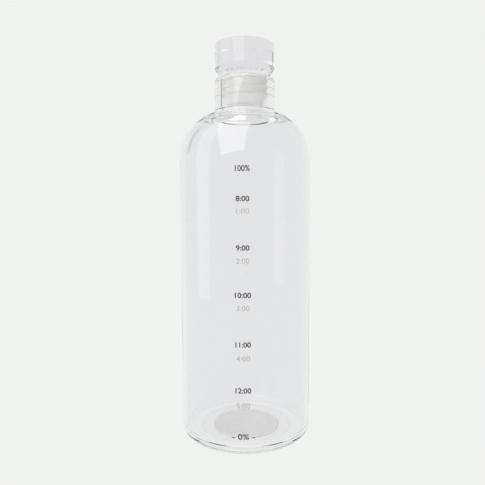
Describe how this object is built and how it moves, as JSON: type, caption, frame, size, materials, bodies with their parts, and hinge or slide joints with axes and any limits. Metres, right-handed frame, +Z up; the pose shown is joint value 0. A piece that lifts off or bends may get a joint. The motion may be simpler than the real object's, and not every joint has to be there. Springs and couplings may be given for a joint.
{
  "type": "glass water bottle",
  "caption": "Clear glass water bottle with rounded shoulders, a thick neck, a ribbed silicone plug under a clear solid knob, and an hour scale for a drink reminder.",
  "frame": {"origin": "centre of the foot ring's plane, on the bottle's axis", "axes": "+Z up the bottle's axis, from the foot to the knob; -Y is the side that carries the hour scale, and +X is to the right when that side is faced"},
  "size_m": [0.078, 0.078, 0.233],
  "materials": {
    "clear_glass": "polished",
    "knob_glass": "polished",
    "frosted_silicone": "satin",
    "pad_silicone": "matte",
    "adhesive_film": "satin",
    "dark_ink": "satin",
    "grey_ink": "satin"
  },
  "bodies": {
    "bottle": {"bottle_glass": "clear_glass", "base_pad": "pad_silicone", "pad_adhesive": "adhesive_film"},
    "plug": {"stopper_plug": "frosted_silicone"},
    "knob": {"stopper_knob": "knob_glass"}
  },
  "joints": [
    {"name": "stopper_lift", "type": "slide", "parent": "bottle", "child": "plug", "axis": [0, 0, 1], "range_m": [-0.0032, 0.045]},
    {"name": "knob_turn", "type": "hinge", "parent": "plug", "child": "knob", "pos_m": [0, 0, 0.21], "axis": [0, 0, 1], "continuous": true}
  ]
}
